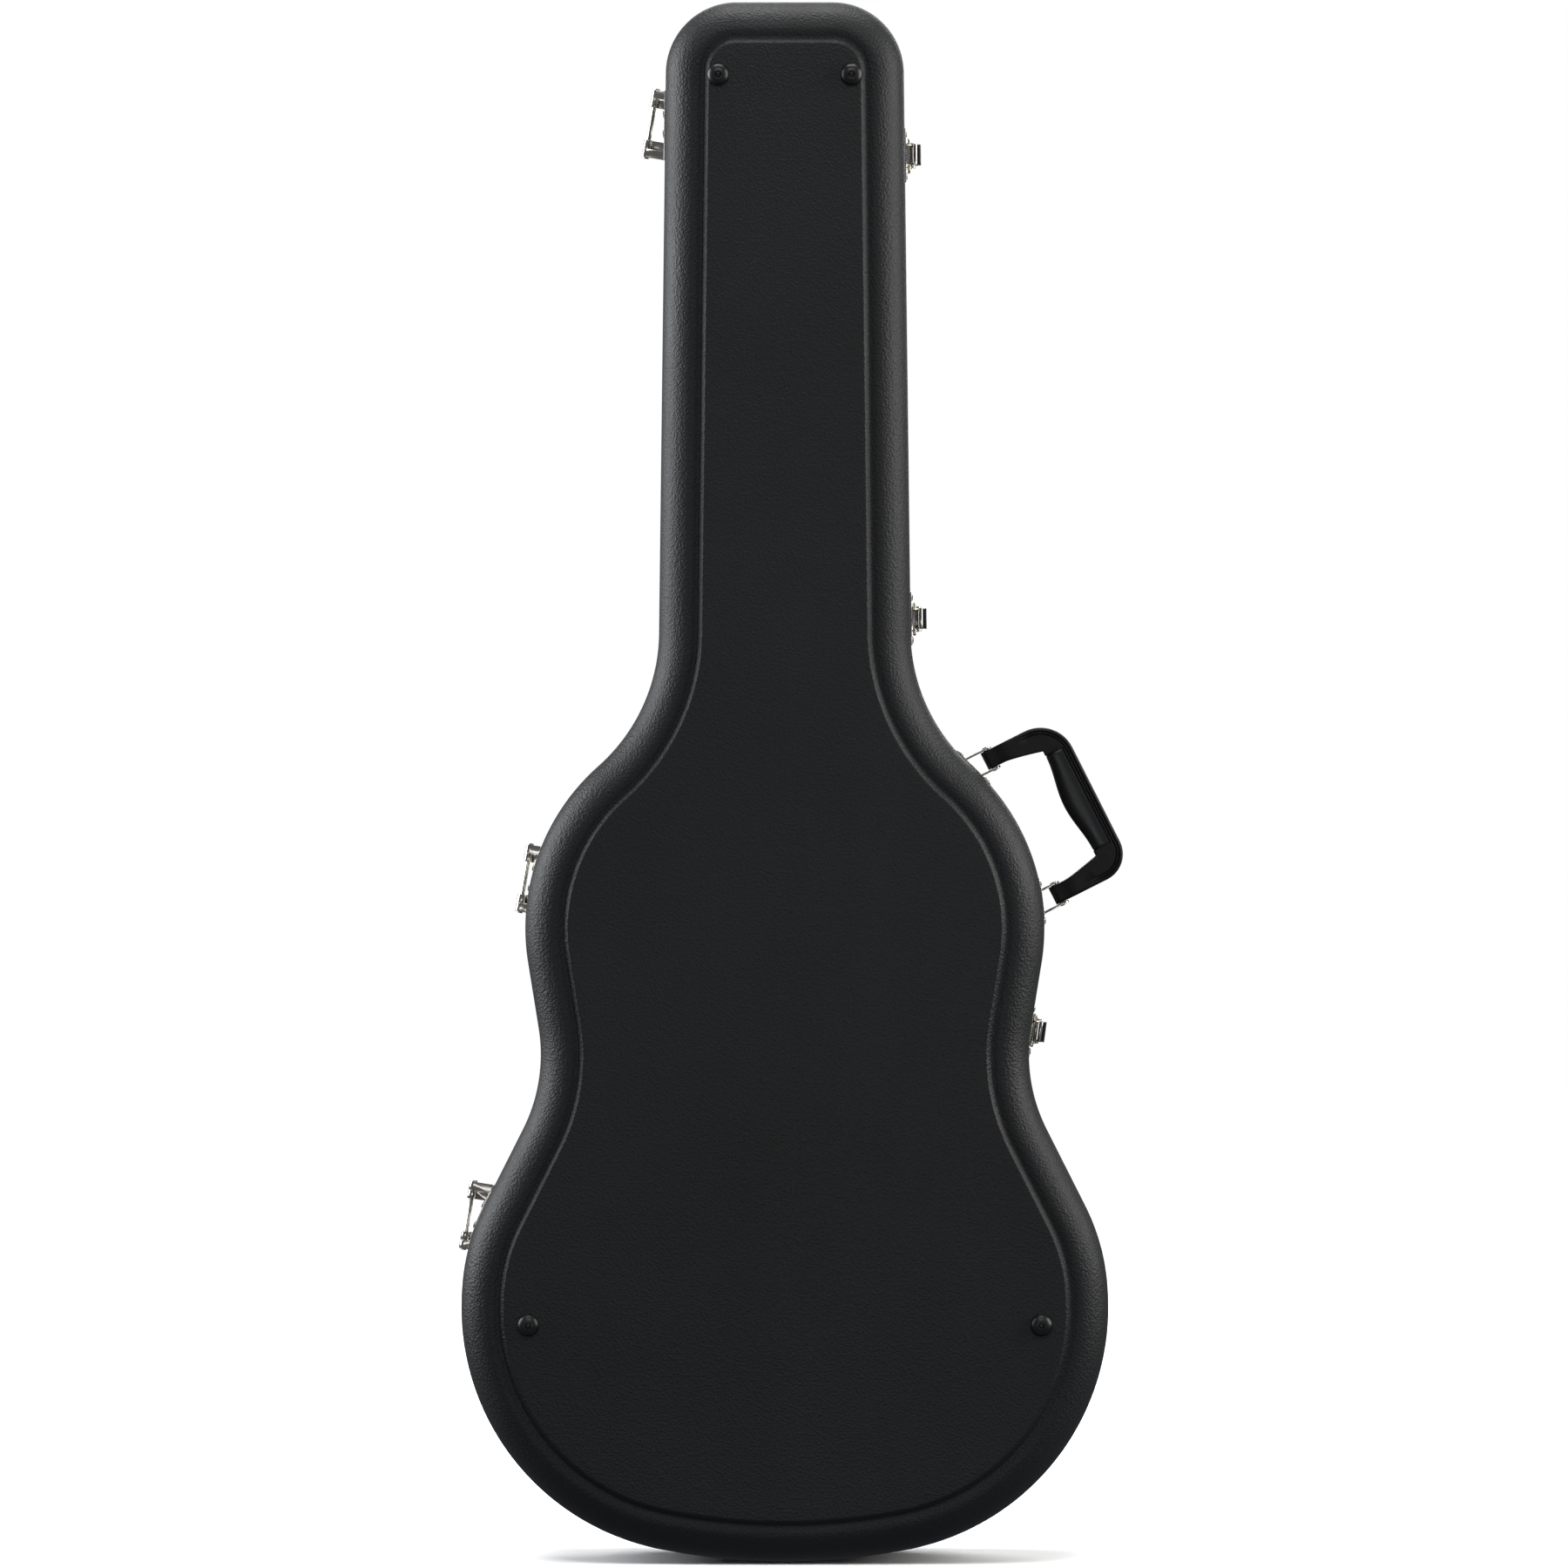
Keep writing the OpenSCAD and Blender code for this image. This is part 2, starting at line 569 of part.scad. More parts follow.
// ---- Inside ----
floor_y = back_y + pad_depth;          // face of the bed's floor
block_half = 61;                       // half width of the blocks between the padded walls
cradle_z = [850, 896];
cradle_top = 15;
neck_w = 64;                           // width of the notch for the neck

// A padded block between the walls, chamfered where the bed's floor curves up
module neck_block(z, top) translate([0, 0, z[0]]) linear_extrude(z[1] - z[0])
    polygon([[-block_half + 9, floor_y], [block_half - 9, floor_y], [block_half, floor_y + 10],
        [block_half, top], [-block_half, top], [-block_half, floor_y + 10]]);

module neck_cradle() color(plush) difference() {
    neck_block(cradle_z, cradle_top);
    translate([0, cradle_top, cradle_z[0] - 1]) intersection() {
        cylinder(r = neck_w / 2, h = cradle_z[1] - cradle_z[0] + 2);
        translate([-neck_w, -neck_w / 4, 0]) cube([2 * neck_w, neck_w, neck_w]);
    }
}
module accessory_box() color(plush) difference() {
    neck_block(box_z, flap_y);
    translate([-flap_w / 2, flap_y - 5, box_z[0] + 5])
        cube([flap_w + 1, 10, box_z[1] - box_z[0] - 10]);
    translate([-flap_w / 2 + 3, floor_y + 3, box_z[0] + 8])
        cube([flap_w - 6, 60, box_z[1] - box_z[0] - 16]);
}
module accessory_flap() color(plush)
    translate([-flap_w / 2 + 0.5, flap_y - 4.5, box_z[0] + 5.5])
        cube([flap_w - 0.5, 4.5, box_z[1] - box_z[0] - 11]);
module flap_tab() color([0.05, 0.05, 0.05])
    translate([flap_w / 2 - 12, flap_y, (box_z[0] + box_z[1]) / 2 - 9]) difference() {
        cube([10, 6, 18]);
        translate([-1, 1.2, 1.2]) cube([12, 3.4, 15.6]);
    }

base_shell();
lid_shell();
base_rim();
lid_rim();
base_panel_pad();
base_side_pad();
lid_panel_pad();
lid_side_pad();
neck_cradle();
accessory_box();
accessory_flap();
flap_tab();
hinge_leaf(0, -1);  // hinge_1_base_leaf
hinge_leaf(0, 1);  // hinge_1_lid_leaf
hinge_pin(0);  // hinge_1_pin
hinge_leaf(1, -1);  // hinge_2_base_leaf
hinge_leaf(1, 1);  // hinge_2_lid_leaf
hinge_pin(1);  // hinge_2_pin
hinge_leaf(2, -1);  // hinge_3_base_leaf
hinge_leaf(2, 1);  // hinge_3_lid_leaf
hinge_pin(2);  // hinge_3_pin
color(chrome) leaf_rivets(-1);  // hinge_rivets_base
color(chrome) leaf_rivets(1);  // hinge_rivets_lid
latch_plate(0);  // latch_1_plate
latch_lever(0);  // latch_1_lever
latch_thumb_pad(0);  // latch_1_thumb_pad
latch_lever_pin(0);  // latch_1_lever_pin
latch_bail(0);  // latch_1_bail
latch_keeper(0);  // latch_1_keeper
latch_plate(1);  // latch_2_plate
latch_lever(1);  // latch_2_lever
latch_thumb_pad(1);  // latch_2_thumb_pad
latch_lever_pin(1);  // latch_2_lever_pin
latch_bail(1);  // latch_2_bail
latch_keeper(1);  // latch_2_keeper
latch_plate(2);  // latch_3_plate
latch_lever(2);  // latch_3_lever
latch_thumb_pad(2);  // latch_3_thumb_pad
latch_lever_pin(2);  // latch_3_lever_pin
latch_bail(2);  // latch_3_bail
latch_keeper(2);  // latch_3_keeper
color(chrome) plate_rivets();  // latch_rivets_base
color(chrome) keeper_rivets();  // latch_rivets_lid
handle_frame();
handle_grip();
handle_bracket(1);  // handle_bracket_upper
handle_bracket(-1);  // handle_bracket_lower
handle_pin(1);  // handle_pin_upper
handle_pin(-1);  // handle_pin_lower
handle_rivets();
handle_backing(1);  // handle_backing_upper
handle_backing(-1);  // handle_backing_lower
feet();
foot_rivets();
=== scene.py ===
import math

import bmesh
import bpy
from mathutils import Matrix, Vector, noise


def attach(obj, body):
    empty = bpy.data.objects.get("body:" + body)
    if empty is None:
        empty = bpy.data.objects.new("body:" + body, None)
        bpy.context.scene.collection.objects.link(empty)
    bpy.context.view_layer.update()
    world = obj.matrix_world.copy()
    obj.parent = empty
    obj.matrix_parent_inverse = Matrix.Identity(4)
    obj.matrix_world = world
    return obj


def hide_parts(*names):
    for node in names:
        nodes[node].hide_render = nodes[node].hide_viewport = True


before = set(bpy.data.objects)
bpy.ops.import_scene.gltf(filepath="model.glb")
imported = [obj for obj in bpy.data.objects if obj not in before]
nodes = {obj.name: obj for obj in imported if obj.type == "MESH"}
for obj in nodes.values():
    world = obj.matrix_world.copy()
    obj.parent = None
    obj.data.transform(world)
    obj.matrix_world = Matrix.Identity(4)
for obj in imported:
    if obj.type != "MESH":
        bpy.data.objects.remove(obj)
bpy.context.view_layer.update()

MM = 0.001

# ---------------------------------------------------------------- outline of the case, in mm
CASE_LEN, BACK_Y, LID_Y, PART_Y = 1090.0, -72.0, 78.0, 26.0
TAIL, BOTTOM_R = (232.0, 35.0), 450.0
EDGE_R, SKIN, STEP, WALL = 27.0, 0.4, 1.8, 3.0


def lowest_corner():
    z = 0.0
    for _ in range(8):
        z = -BOTTOM_R * (1 / math.cos(math.atan2(TAIL[1] - z, TAIL[0])) - 1)
    return z


BOTTOM = (0.0, lowest_corner())
CORNERS = [(0, CASE_LEN, 0), (83, CASE_LEN, 50), (89, 594, 125), (193, 500, 152),
           (166.5, 336, 115), (225, 220, 150), (*TAIL, 172), (*BOTTOM, BOTTOM_R)]


def corner_arc(p, a, b, r, part=1.0, pitch=3.2):
    """Points and outward normals of the arc that rounds corner p between neighbours a and b."""
    to_a = (Vector(a) - Vector(p)).normalized()
    to_b = (Vector(b) - Vector(p)).normalized()
    half = math.acos(to_a.dot(to_b)) / 2
    centre = Vector(p) + (to_a + to_b).normalized() * r / math.sin(half)
    start = Vector(p) + to_a * r / math.tan(half) - centre
    end = Vector(p) + to_b * r / math.tan(half) - centre
    a0 = math.atan2(start.y, start.x)
    turn = (math.atan2(end.y, end.x) - a0 + math.pi) % (2 * math.pi) - math.pi
    out = 1 if turn < 0 else -1
    n = max(3, math.ceil(abs(turn) * part * r / pitch))
    made = []
    for k in range(n + 1):
        t = a0 + turn * part * k / n
        e = Vector((math.cos(t), math.sin(t)))
        made.append((centre + r * e, out * e))
    return made


def half_outline(pitch=3.2):
    """The right half from the top's middle to the bottom's, evenly spaced, as (point, normal)."""
    arcs = [[(Vector((0.0, CASE_LEN)), Vector((0.0, 1.0)))]]
    for i in range(1, len(CORNERS) - 1):
        before, (x, z, r), after = CORNERS[i - 1][:2], CORNERS[i], CORNERS[i + 1][:2]
        arcs.append(corner_arc((x, z), before, after, r, 1.0, pitch))
    arcs.append(corner_arc(BOTTOM, TAIL, (-TAIL[0], TAIL[1]), BOTTOM_R, 0.5, pitch))
    made = list(arcs[0])
    for arc in arcs[1:]:
        (p0, n0), (p1, n1) = made[-1], arc[0]
        steps = max(1, round((p1 - p0).length / (pitch * 1.6)))
        for k in range(1, steps):
            made.append((p0.lerp(p1, k / steps), n0.lerp(n1, k / steps).normalized()))
        made += arc
    return made


HALF = half_outline()


def ring(d):
    right = [p - d * n for p, n in HALF]
    return right + [Vector((-q.x, q.y)) for q in reversed(right[1:-1])]


# ---------------------------------------------------------------- mesh helpers
def make(name, verts, faces, mat, body, slot, crease=38.0):
    """A smooth-shaded mesh object from points in mm, riding on a CAD body."""
    mesh = bpy.data.meshes.new(name)
    mesh.from_pydata([tuple(c * MM for c in v) for v in verts], [], faces)
    bm = bmesh.new()
    bm.from_mesh(mesh)
    bmesh.ops.remove_doubles(bm, verts=bm.verts, dist=2e-6)
    bmesh.ops.recalc_face_normals(bm, faces=bm.faces)
    bm.to_mesh(mesh)
    bm.free()
    mesh.shade_smooth()
    mesh.set_sharp_from_angle(angle=math.radians(crease))
    obj = bpy.data.objects.new(name, mesh)
    bpy.context.scene.collection.objects.link(obj)
    obj.data.materials.append(mat)
    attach(obj, body)
    return obj


def cap_faces(start, count, flip):
    """Faces that close a ring of the outline with strips from its right half to its left."""
    m = len(HALF)
    made = []
    for i in range(m - 1):
        left0 = i if i == 0 else count - i
        left1 = i + 1 if i == m - 2 else count - i - 1
        face = [i, i + 1, left1, left0]
        face = [f for k, f in enumerate(face) if f not in face[:k]]
        face = [start + f for f in face]
        made.append(face[::-1] if flip else face)
    return made


def loft(path, closed=False, shift=None):
    """Rings of the outline along a path of (inset, y); shift(point, i, j) may move each point."""
    verts, faces = [], []
    n = len(ring(0))
    for j, (d, y) in enumerate(path):
        for i, q in enumerate(ring(d)):
            v = Vector((q.x, y, q.y))
            verts.append(shift(v, i, j) if shift else v)
    m = len(path)
    for j in range(m if closed else m - 1):
        a, b = j * n, ((j + 1) % m) * n
        faces += [(a + i, a + (i + 1) % n, b + (i + 1) % n, b + i) for i in range(n)]
    if not closed:
        faces += cap_faces(0, n, True)
        faces += cap_faces((m - 1) * n, n, False)
    return verts, faces


def revolve(profile, place, segments=72):
    """A closed solid from a profile of (radius, height) about place's own Z."""
    verts, faces = [], []
    for r, h in profile:
        for k in range(segments):
            a = 2 * math.pi * k / segments
            verts.append(place @ Vector((r * math.cos(a), r * math.sin(a), h)))
    m = len(profile)
    for j in range(m - 1):
        a, b = j * segments, (j + 1) * segments
        faces += [(a + k, a + (k + 1) % segments, b + (k + 1) % segments, b + k)
                  for k in range(segments)]
    faces.append(tuple(range(segments))[::-1])
    faces.append(tuple((m - 1) * segments + k for k in range(segments)))
    return verts, faces


def rounded(points, radii, steps=5):
    """A closed 2-D polygon with each corner rounded by its own radius."""
    made = []
    n = len(points)
    for i in range(n):
        p, a, b, r = Vector(points[i]), Vector(points[i - 1]), Vector(points[(i + 1) % n]), radii[i]
        if r <= 0:
            made.append(p)
            continue
        ta, tb = (a - p).normalized(), (b - p).normalized()
        half = math.acos(max(-1.0, min(1.0, ta.dot(tb)))) / 2
        reach = r / math.tan(half)
        c = p + (ta + tb).normalized() * r / math.sin(half)
        s, e = p + ta * reach - c, p + tb * reach - c
        a0 = math.atan2(s.y, s.x)
        turn = (math.atan2(e.y, e.x) - a0 + math.pi) % (2 * math.pi) - math.pi
        for k in range(steps + 1):
            t = a0 + turn * k / steps
            made.append(c + Vector((math.cos(t), math.sin(t))) * r)
    return made


# ---------------------------------------------------------------- materials
class Nodes:
    """A small wrapper that adds shader nodes and links them."""

    def __init__(self, name):
        self.mat = bpy.data.materials.new(name)
        self.mat.use_nodes = True
        self.tree = self.mat.node_tree
        self.tree.nodes.clear()
        self.out = self.tree.nodes.new("ShaderNodeOutputMaterial")
        self.bsdf = self.tree.nodes.new("ShaderNodeBsdfPrincipled")
        self.link(self.bsdf.outputs[0], self.out.inputs["Surface"])
        coord = self.tree.nodes.new("ShaderNodeTexCoord")
        self.coord = coord.outputs["Object"]

    def link(self, a, b):
        self.tree.links.new(a, b)

    def stretch(self, sx, sy, sz, turn=(0, 0, 0)):
        m = self.tree.nodes.new("ShaderNodeMapping")
        m.inputs["Scale"].default_value = (sx, sy, sz)
        m.inputs["Rotation"].default_value = turn
        self.link(self.coord, m.inputs["Vector"])
        return m.outputs[0]

    def noise(self, scale, detail=3.0, rough=0.55, at=None, distortion=0.0):
        n = self.tree.nodes.new("ShaderNodeTexNoise")
        n.inputs["Scale"].default_value = scale
        n.inputs["Detail"].default_value = detail
        n.inputs["Roughness"].default_value = rough
        n.inputs["Distortion"].default_value = distortion
        self.link(at or self.coord, n.inputs["Vector"])
        return n.outputs["Fac"]

    def cells(self, scale, feature="F1", at=None, randomness=1.0, smooth=None):
        n = self.tree.nodes.new("ShaderNodeTexVoronoi")
        n.feature = feature
        n.inputs["Scale"].default_value = scale
        n.inputs["Randomness"].default_value = randomness
        if smooth is not None:
            n.inputs["Smoothness"].default_value = smooth
        self.link(at or self.coord, n.inputs["Vector"])
        return n.outputs["Distance"]

    def ramp(self, value, *stops):
        n = self.tree.nodes.new("ShaderNodeValToRGB")
        n.color_ramp.elements.remove(n.color_ramp.elements[0])
        n.color_ramp.elements[0].position = stops[0][0]
        n.color_ramp.elements[0].color = (*self._rgb(stops[0][1]), 1)
        for pos, col in stops[1:]:
            n.color_ramp.elements.new(pos).color = (*self._rgb(col), 1)
        self.link(value, n.inputs["Fac"])
        return n.outputs["Color"]

    @staticmethod
    def _rgb(c):
        return c if hasattr(c, "__len__") else (c, c, c)

    def range(self, value, lo, hi, frm=(0.0, 1.0)):
        n = self.tree.nodes.new("ShaderNodeMapRange")
        n.inputs["From Min"].default_value, n.inputs["From Max"].default_value = frm
        n.inputs["To Min"].default_value, n.inputs["To Max"].default_value = lo, hi
        self.link(value, n.inputs["Value"])
        return n.outputs["Result"]

    def math(self, op, a, b=None, c=None):
        n = self.tree.nodes.new("ShaderNodeMath")
        n.operation = op
        for i, v in enumerate((a, b, c)):
            if v is None:
                continue
            if isinstance(v, (int, float)):
                n.inputs[i].default_value = v
            else:
                self.link(v, n.inputs[i])
        return n.outputs[0]

    def bump(self, height, strength, distance, under=None):
        n = self.tree.nodes.new("ShaderNodeBump")
        n.inputs["Strength"].default_value = strength
        n.inputs["Distance"].default_value = distance
        self.link(height, n.inputs["Height"])
        if under is not None:
            self.link(under, n.inputs["Normal"])
        return n.outputs["Normal"]

    def base(self, color):
        self.link(color, self.bsdf.inputs["Base Color"])

    def roughness(self, value):
        self.link(value, self.bsdf.inputs["Roughness"])

    def normal(self, value):
        self.link(value, self.bsdf.inputs["Normal"])

    def set(self, **sockets):
        for k, v in sockets.items():
            self.bsdf.inputs[k.replace("_", " ")].default_value = v


def shell_material():
    n = Nodes("pebbled_shell")
    broad = n.noise(5.0, 4.0, 0.6)
    scuffs = n.noise(9.0, 6.0, 0.7, at=n.stretch(1.0, 1.0, 0.22, (0, 0.35, 0)))
    fine = n.noise(900.0, 2.0, 0.6)
    tone = n.math("ADD", n.math("MULTIPLY", broad, 0.55), n.math("MULTIPLY", fine, 0.45))
    n.base(n.ramp(tone, (0.36, (0.0085, 0.0092, 0.0095)), (0.66, (0.0175, 0.0186, 0.0196))))
    rough = n.math("ADD", n.range(broad, 0.43, 0.54), n.range(scuffs, 0.05, -0.06, (0.45, 0.75)))
    n.roughness(rough)
    pebble = n.cells(620.0, "SMOOTH_F1", smooth=0.6)
    grain = n.noise(1500.0, 2.0, 0.5)
    relief = n.bump(pebble, 0.75, 0.0005)
    relief = n.bump(grain, 0.35, 0.0002, relief)
    relief = n.bump(n.noise(11.0, 1.0, 0.4), 0.12, 0.004, relief)
    n.normal(relief)
    n.set(Specular_IOR_Level=0.5)
    return n.mat


def rim_material():
    n = Nodes("black_rim")
    wear = n.noise(60.0, 5.0, 0.7)
    n.base(n.ramp(wear, (0.35, (0.009, 0.009, 0.0095)), (0.8, (0.016, 0.016, 0.017))))
    n.roughness(n.range(n.noise(35.0, 3.0), 0.3, 0.42))
    n.normal(n.bump(n.noise(700.0, 2.0), 0.12, 0.0002))
    return n.mat


def chrome_material(name="plated_metal", tint=(0.74, 0.71, 0.64), rough=(0.1, 0.22)):
    n = Nodes(name)
    smudge = n.noise(140.0, 4.0, 0.65)
    dark = tuple(c * 0.86 for c in tint)
    n.base(n.ramp(smudge, (0.3, dark), (0.7, tint)))
    n.roughness(n.range(smudge, rough[0], rough[1], (0.3, 0.7)))
    n.normal(n.bump(n.noise(420.0, 3.0, 0.6), 0.06, 0.0002))
    n.set(Metallic=1.0)
    return n.mat


def steel_material():
    n = Nodes("zinc_steel")
    brushed = n.noise(300.0, 3.0, 0.6, at=n.stretch(1.0, 14.0, 1.0))
    n.base(n.ramp(brushed, (0.3, (0.36, 0.37, 0.38)), (0.7, (0.52, 0.52, 0.53))))
    n.roughness(n.range(brushed, 0.28, 0.45))
    n.normal(n.bump(brushed, 0.1, 0.0002))
    n.set(Metallic=1.0)
    return n.mat


def moulded_material(name, dark, light, rough, grain, depth, shine=0.5):
    n = Nodes(name)
    tone = n.noise(45.0, 4.0, 0.6)
    n.base(n.ramp(tone, (0.35, dark), (0.75, light)))
    n.roughness(n.range(n.noise(80.0, 4.0, 0.6), rough[0], rough[1], (0.3, 0.7)))
    relief = n.bump(n.cells(grain, "SMOOTH_F1", smooth=0.5), depth, 0.00025)
    n.normal(n.bump(n.noise(grain * 2.2, 2.0), depth * 0.5, 0.00015, relief))
    n.set(Specular_IOR_Level=shine)
    return n.mat


def plush_material():
    n = Nodes("plush_lining")
    nap = n.noise(55.0, 5.0, 0.7, distortion=0.6)
    pile = n.noise(2600.0, 3.0, 0.65)
    tone = n.math("ADD", n.math("MULTIPLY", nap, 0.5), n.math("MULTIPLY", pile, 0.5))
    n.base(n.ramp(tone, (0.34, (0.016, 0.016, 0.019)), (0.5, (0.034, 0.034, 0.039)),
                  (0.68, (0.07, 0.07, 0.08))))
    n.roughness(n.range(nap, 0.82, 1.0))
    relief = n.bump(pile, 0.55, 0.0006)
    relief = n.bump(n.noise(380.0, 4.0, 0.7), 0.35, 0.0012, relief)
    n.normal(relief)
    n.set(Sheen_Weight=0.55, Sheen_Roughness=0.35, Specular_IOR_Level=0.2)
    n.bsdf.inputs["Sheen Tint"].default_value = (0.55, 0.56, 0.62, 1)
    return n.mat


def ribbon_material():
    n = Nodes("ribbon_tape")
    w = n.tree.nodes.new("ShaderNodeTexWave")
    w.bands_direction = "Z"
    w.inputs["Scale"].default_value = 420.0
    w.inputs["Distortion"].default_value = 0.4
    n.link(n.coord, w.inputs["Vector"])
    ribs = w.outputs["Fac"]
    n.base(n.ramp(ribs, (0.2, 0.006), (0.8, 0.02)))
    n.roughness(n.range(ribs, 0.85, 0.65))
    n.normal(n.bump(ribs, 0.6, 0.0003, n.bump(n.noise(1800.0, 2.0), 0.3, 0.0002)))
    n.set(Sheen_Weight=0.25, Sheen_Roughness=0.4)
    return n.mat


def floor_material():
    n = Nodes("studio_floor")
    n.base(n.ramp(n.noise(2.0, 3.0), (0.3, 0.80), (0.7, 0.83)))
    n.roughness(n.range(n.noise(6.0, 3.0), 0.6, 0.75))
    return n.mat


SHELL = shell_material()
RIM = rim_material()
CHROME = chrome_material()
STEEL = steel_material()
PLUSH = plush_material()
RIBBON = ribbon_material()
HANDLE = moulded_material("handle_plastic", (0.0055, 0.0056, 0.0056), (0.0095, 0.0095, 0.0095),
                          (0.42, 0.52), 900.0, 0.25, 0.35)
GRIP = moulded_material("grip_rubber", (0.0085, 0.0087, 0.009), (0.0125, 0.0127, 0.013),
                        (0.3, 0.38), 1400.0, 0.1, 0.6)
RUBBER = moulded_material("foot_rubber", (0.006, 0.006, 0.0062), (0.01, 0.01, 0.0105),
                          (0.3, 0.4), 1100.0, 0.08, 0.6)
PAD = moulded_material("latch_plastic", (0.005, 0.005, 0.0052), (0.008, 0.008, 0.0082),
                       (0.4, 0.5), 800.0, 0.1, 0.35)

# ---------------------------------------------------------------- camera
scene = bpy.context.scene
scene.view_settings.view_transform = "Standard"
cam_data = bpy.data.cameras.new("camera")
cam_data.lens = 200.0
cam_data.sensor_width = 36.0
camera = bpy.data.objects.new("camera", cam_data)
scene.collection.objects.link(camera)
FRAME_H, FRAME_Y = 1.098, -0.03      # height of the view at the widest of the silhouette
camera.location = (-0.0006, FRAME_Y - FRAME_H * cam_data.lens / cam_data.sensor_width, 0.5435)
camera.rotation_euler = (math.pi / 2, 0, 0)
scene.camera = camera

# ---------------------------------------------------------------- shells


def outer_section():
    """The shell's outside from the panel to the rim, as (inset, depth below the panel)."""
    path = [(40.0, 0.0), (32.0, 0.0)]
    path += [(31.1, 0.05), (30.7, 0.2), (30.4, 0.45)]   # the raised panel's step, and its valley
    path += [(27.9, 3.4), (27.4, 3.72), (26.7, 3.8), (25.7, 3.6), (24.4, 3.15), (22.4, 2.75)]
    for k in range(3, 19):                              # the rest of the quarter round
        a = math.radians(5 * k)
        path.append((EDGE_R - (EDGE_R - SKIN) * math.sin(a),
                     STEP + (EDGE_R - SKIN) * (1 - math.cos(a))))
    return path


def inner_section(depth):
    r, c = EDGE_R - SKIN - WALL, STEP + EDGE_R - SKIN
    path = [(SKIN + WALL, depth)]
    for k in range(8, -1, -1):
        a = math.radians(90 * k / 8)
        path.append((EDGE_R - r * math.sin(a), c - r * math.cos(a)))
    return path + [(EDGE_R + 1.6, STEP + WALL), (EDGE_R + 3.2, WALL)]


def shell_path(depth):
    wall = [(SKIN, 0.5 * (depth + 30)), (SKIN, depth - 0.3), (SKIN + 0.3, depth)]
    return outer_section() + wall + inner_section(depth)


def to_base(path):
    return [(d, BACK_Y + s) for d, s in path]


def to_lid(path):
    return [(d, LID_Y - s) for d, s in path]


base_shell = make("shell_base", *loft(to_base(shell_path(77.0))), SHELL, "base", "shell", 50)
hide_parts("base_shell")
lid_shell = make("shell_lid", *loft(to_lid(shell_path(36.0))), SHELL, "lid", "shell", 50)
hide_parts("lid_shell")

# ---------------------------------------------------------------- rims


def ring_section(points, radii):
    return loft([(p.x, p.y) for p in rounded(points, radii, 3)], closed=True)


base_rim = make("rim_base", *ring_section(
    [(0, 5), (0, 26), (3.5, 26), (3.5, 28.5), (4.9, 28.5), (4.9, 26), (5.4, 26), (5.4, -3),
     (4.0, -3), (4.0, 24), (1.4, 24), (1.4, 5)],
    [0.45, 0.5, 0, 0.35, 0.35, 0, 0.2, 0.4, 0.4, 0.2, 0.2, 0.2]), RIM, "base", "rim", 40)
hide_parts("base_rim")
lid_rim = make("rim_lid", *ring_section(
    [(0, 42), (0, 26.3), (3.0, 26.3), (3.0, 29.3), (5.8, 29.3), (5.8, 26.3), (7.2, 26.3),
     (7.2, 31), (5.4, 31), (5.4, 50), (4.0, 50), (4.0, 31), (1.4, 31), (1.4, 42)],
    [0.45, 0.5, 0.2, 0, 0, 0.2, 0.4, 0.3, 0, 0.4, 0.4, 0.2, 0.2, 0.2]), RIM, "lid", "rim", 40)
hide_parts("lid_rim")

# ---------------------------------------------------------------- linings


PAD_ARC, ARC_Y = EDGE_R - SKIN - WALL - 0.3, STEP + EDGE_R - SKIN
PAD_DEPTH = 15.0


def pad_point(side, a):
    return EDGE_R - (EDGE_R - side) * math.sin(a), ARC_Y - PAD_ARC * math.cos(a)


def panel_pad_path(side):
    """The flat pad behind a panel; its face has a sewn line just inside the side pad."""
    low = math.acos((ARC_Y - PAD_DEPTH) / PAD_ARC)
    back = [(EDGE_R + 3.6, WALL + 0.3), (EDGE_R + 1.8, STEP + WALL + 0.3)]
    back += [pad_point(side, low * k / 5) for k in range(6)]
    face = [(side + 6.0, 15.0), (24.0, 15.0), (30.5, 14.9), (33.0, 14.9), (34.6, 14.5), (35.4, 14.1),
            (36.2, 14.5), (37.8, 14.95), (40.0, 15.0), (45.0, 15.0)]
    return back + face


def side_pad_path(side, depth):
    """The strip along the wall: outer side, rolled brim, seam, and a foot on the panel pad."""
    low = math.acos((ARC_Y - PAD_DEPTH - 0.2) / PAD_ARC)
    outer = [pad_point(side, low + (math.pi / 2 - low) * k / 4) for k in range(5)]
    brim = [(side, depth - 4.0), (side + 0.5, depth - 2.0), (side + 1.6, depth - 0.7),
            (side + 3.4, depth - 0.1), (side + 6.0, depth), (17.0, depth), (18.6, depth - 0.5),
            (19.8, depth - 1.5), (20.7, depth - 2.9), (21.3, depth - 4.6), (21.7, depth - 7.0),
            (22.0, depth - 9.5)]
    seam = [(22.0, depth - 11.5), (22.35, depth - 12.4), (22.6, depth - 12.8), (22.35, depth - 13.2),
            (22.0, depth - 14.1)]
    middle = 0.5 * (depth - 14.1 + 27.0)
    wall = [(21.75, 0.5 * (depth - 14.1 + middle)), (21.65, middle), (21.75, 0.5 * (middle + 27.0)),
            (22.0, 27.0), (22.2, 24.0), (22.9, 21.0), (24.3, 18.4), (26.4, 16.5), (29.0, 15.5),
            (30.8, 15.25)]
    return outer + brim + seam + wall


FIRST_WAVED = 11                        # row of a pad's path at which its visible side begins


def waves(toward):
    """Small waves in a pad's visible side, along Y in the direction toward or, if None, inwards."""
    def shift(v, i, j):
        if j < FIRST_WAVED:
            return v
        w = noise.noise(v * 0.02) * 0.45 + noise.noise(v * 0.07 + Vector((7, 3, 1))) * 0.2 - 0.1
        n = Vector((0, toward, 0)) if toward else Vector((-v.x, 0, 560 - v.z)).normalized()
        return v + n * min(0.1, w)
    return shift


